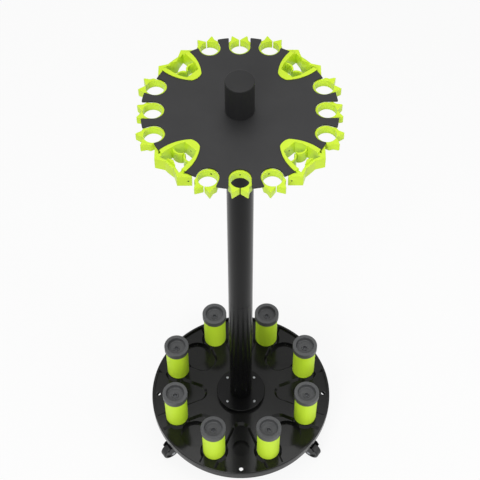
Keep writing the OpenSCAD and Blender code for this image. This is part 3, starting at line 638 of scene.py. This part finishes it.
# Width of the rounded edges in millimetres, and which edges get it
ROUNDING = {
    "foot_flange": (0.6, level_rim), "column_lower": (0.5, any_edge),
    "column_middle": (0.5, any_edge), "column_upper": (0.5, any_edge),
    "top_plate": (0.5, level_rim), "column_cap": (0.4, any_edge),
}
for i in range(1, ROD_CLIPS + 1):
    ROUNDING[f"rod_clip_{i}"] = (0.5, level_rim)
for i in range(1, SIDES + 1):
    ROUNDING[f"corner_clip_{i}"] = (0.6, level_rim)
    ROUNDING[f"caster_wheel_{i}"] = (0.4, any_edge)
for i in range(1, CUPS + 1):
    ROUNDING[f"cup_sleeve_{i}"] = (0.9, any_edge)
    ROUNDING[f"cup_cap_{i}"] = (0.8, any_edge)
for name, (width, chosen) in ROUNDING.items():
    rounded(name, width, chosen)
rounded("base_tray", 0.6, any_edge, apart=False)

rod_places, wall_places, block_places = clip_screw_places()
screw_set("clip_screws", [(clip_screw_size(ROD_WALL), rod_places),
                          (clip_screw_size(CORNER_WALL), wall_places),
                          (clip_screw_size(BLOCK_WALL), block_places)])
screw_set("flange_screws", [(FLANGE_SCREW, flange_screw_places())])
screw_set("cup_bolts", [(CUP_BOLT, cup_bolt_places())])
screw_set("base_screws", [(BASE_SCREW, base_screw_places()),
                          (MOUNT_SCREW, mount_screw_places())])


# Floor, lamps and camera

# Lengths and places here are in metres, and angles in degrees
FLOOR_HALF = 4.0
FLOOR_SHADE = 0.9
FLOOR_ROUGHNESS = 0.8
FLOOR_GLOSS = 0.1
FLOOR_GLOW = 0.88
SOFT_LIGHT = 0.31
LAMP_AIM = (0, 0, 0.5)
SENSOR = 36
CAMERA_AT = (0.0, -1.36037, 2.60961)
CAMERA_PITCH = 54.76
CAMERA_ROLL = -0.206
CAMERA_FIELD = 21.57
SHIFT_ACROSS = -0.00065
SHIFT_UP = -0.0018


def make_floor():
    """A pale floor that the camera and reflections see as white, but for shadows."""
    material = bpy.data.materials.new("pale_floor")
    material.use_nodes = True
    tree = material.node_tree
    shader = tree.nodes["Principled BSDF"]
    shader.inputs["Base Color"].default_value = (FLOOR_SHADE, FLOOR_SHADE, FLOOR_SHADE, 1)
    shader.inputs["Roughness"].default_value = FLOOR_ROUGHNESS
    shader.inputs["Specular IOR Level"].default_value = FLOOR_GLOSS
    glow = tree.nodes.new("ShaderNodeEmission")
    glow.inputs["Strength"].default_value = 1.0
    path = tree.nodes.new("ShaderNodeLightPath")
    seen = math_node(tree, "MAXIMUM", path.outputs["Is Camera Ray"],
                     path.outputs["Is Glossy Ray"])
    share = math_node(tree, "MULTIPLY", seen.outputs["Value"], FLOOR_GLOW)
    mix = tree.nodes.new("ShaderNodeMixShader")
    tree.links.new(share.outputs["Value"], mix.inputs["Fac"])
    tree.links.new(shader.outputs["BSDF"], mix.inputs[1])
    tree.links.new(glow.outputs["Emission"], mix.inputs[2])
    output = tree.nodes["Material Output"]
    tree.links.new(mix.outputs["Shader"], output.inputs["Surface"])
    mesh = bpy.data.meshes.new("studio_floor")
    work = bmesh.new()
    bmesh.ops.create_grid(work, x_segments=1, y_segments=1, size=FLOOR_HALF)
    work.to_mesh(mesh)
    work.free()
    mesh.materials.append(material)
    floor = bpy.data.objects.new("studio_floor", mesh)
    bpy.context.scene.collection.objects.link(floor)


def make_world():
    """Soft light all round, in front of a white backdrop."""
    world = bpy.data.worlds.new("studio")
    bpy.context.scene.world = world
    world.use_nodes = True
    tree = world.node_tree
    soft = tree.nodes["Background"]
    soft.inputs["Color"].default_value = (1, 1, 1, 1)
    soft.inputs["Strength"].default_value = SOFT_LIGHT
    white = tree.nodes.new("ShaderNodeBackground")
    white.inputs["Color"].default_value = (1, 1, 1, 1)
    white.inputs["Strength"].default_value = 1.0
    path = tree.nodes.new("ShaderNodeLightPath")
    seen = math_node(tree, "MAXIMUM", path.outputs["Is Camera Ray"],
                     path.outputs["Is Glossy Ray"])
    through = math_node(tree, "MAXIMUM", seen.outputs["Value"],
                        path.outputs["Is Transmission Ray"])
    mix = tree.nodes.new("ShaderNodeMixShader")
    tree.links.new(through.outputs["Value"], mix.inputs["Fac"])
    tree.links.new(soft.outputs["Background"], mix.inputs[1])
    tree.links.new(white.outputs["Background"], mix.inputs[2])
    tree.links.new(mix.outputs["Shader"], tree.nodes["World Output"].inputs["Surface"])


def add_lamp(name, place, size, power):
    """A rectangular lamp that looks at the middle of the rack."""
    lamp = bpy.data.lights.new(name, "AREA")
    lamp.shape = "RECTANGLE"
    lamp.size, lamp.size_y = size
    lamp.energy = power
    holder = bpy.data.objects.new(name, lamp)
    holder.location = place
    holder.rotation_mode = "QUATERNION"
    holder.rotation_quaternion = (Vector(LAMP_AIM) - Vector(place)).to_track_quat("-Z", "Y")
    bpy.context.scene.collection.objects.link(holder)


def make_camera():
    """The camera at the photograph's place."""
    camera = bpy.data.cameras.new("photo_view")
    camera.sensor_width = SENSOR
    camera.lens = SENSOR / 2 / math.tan(math.radians(CAMERA_FIELD / 2))
    camera.shift_x = SHIFT_ACROSS
    camera.shift_y = SHIFT_UP
    holder = bpy.data.objects.new("photo_view", camera)
    holder.matrix_world = (Matrix.Translation(CAMERA_AT)
                           @ Matrix.Rotation(math.radians(90 - CAMERA_PITCH), 4, "X")
                           @ Matrix.Rotation(math.radians(CAMERA_ROLL), 4, "Z"))
    bpy.context.scene.collection.objects.link(holder)
    bpy.context.scene.camera = holder


make_floor()
make_world()
add_lamp("front_softbox", place=(-1.2, -2.8, 2.8), size=(1.6, 1.6), power=69)
add_lamp("right_softbox", place=(2.4, -1.2, 1.8), size=(1.0, 2.0), power=22)
add_lamp("overhead_softbox", place=(0, 0.4, 3.4), size=(2.2, 2.2), power=34)
make_camera()

scene = bpy.context.scene
scene.view_settings.view_transform = "Standard"
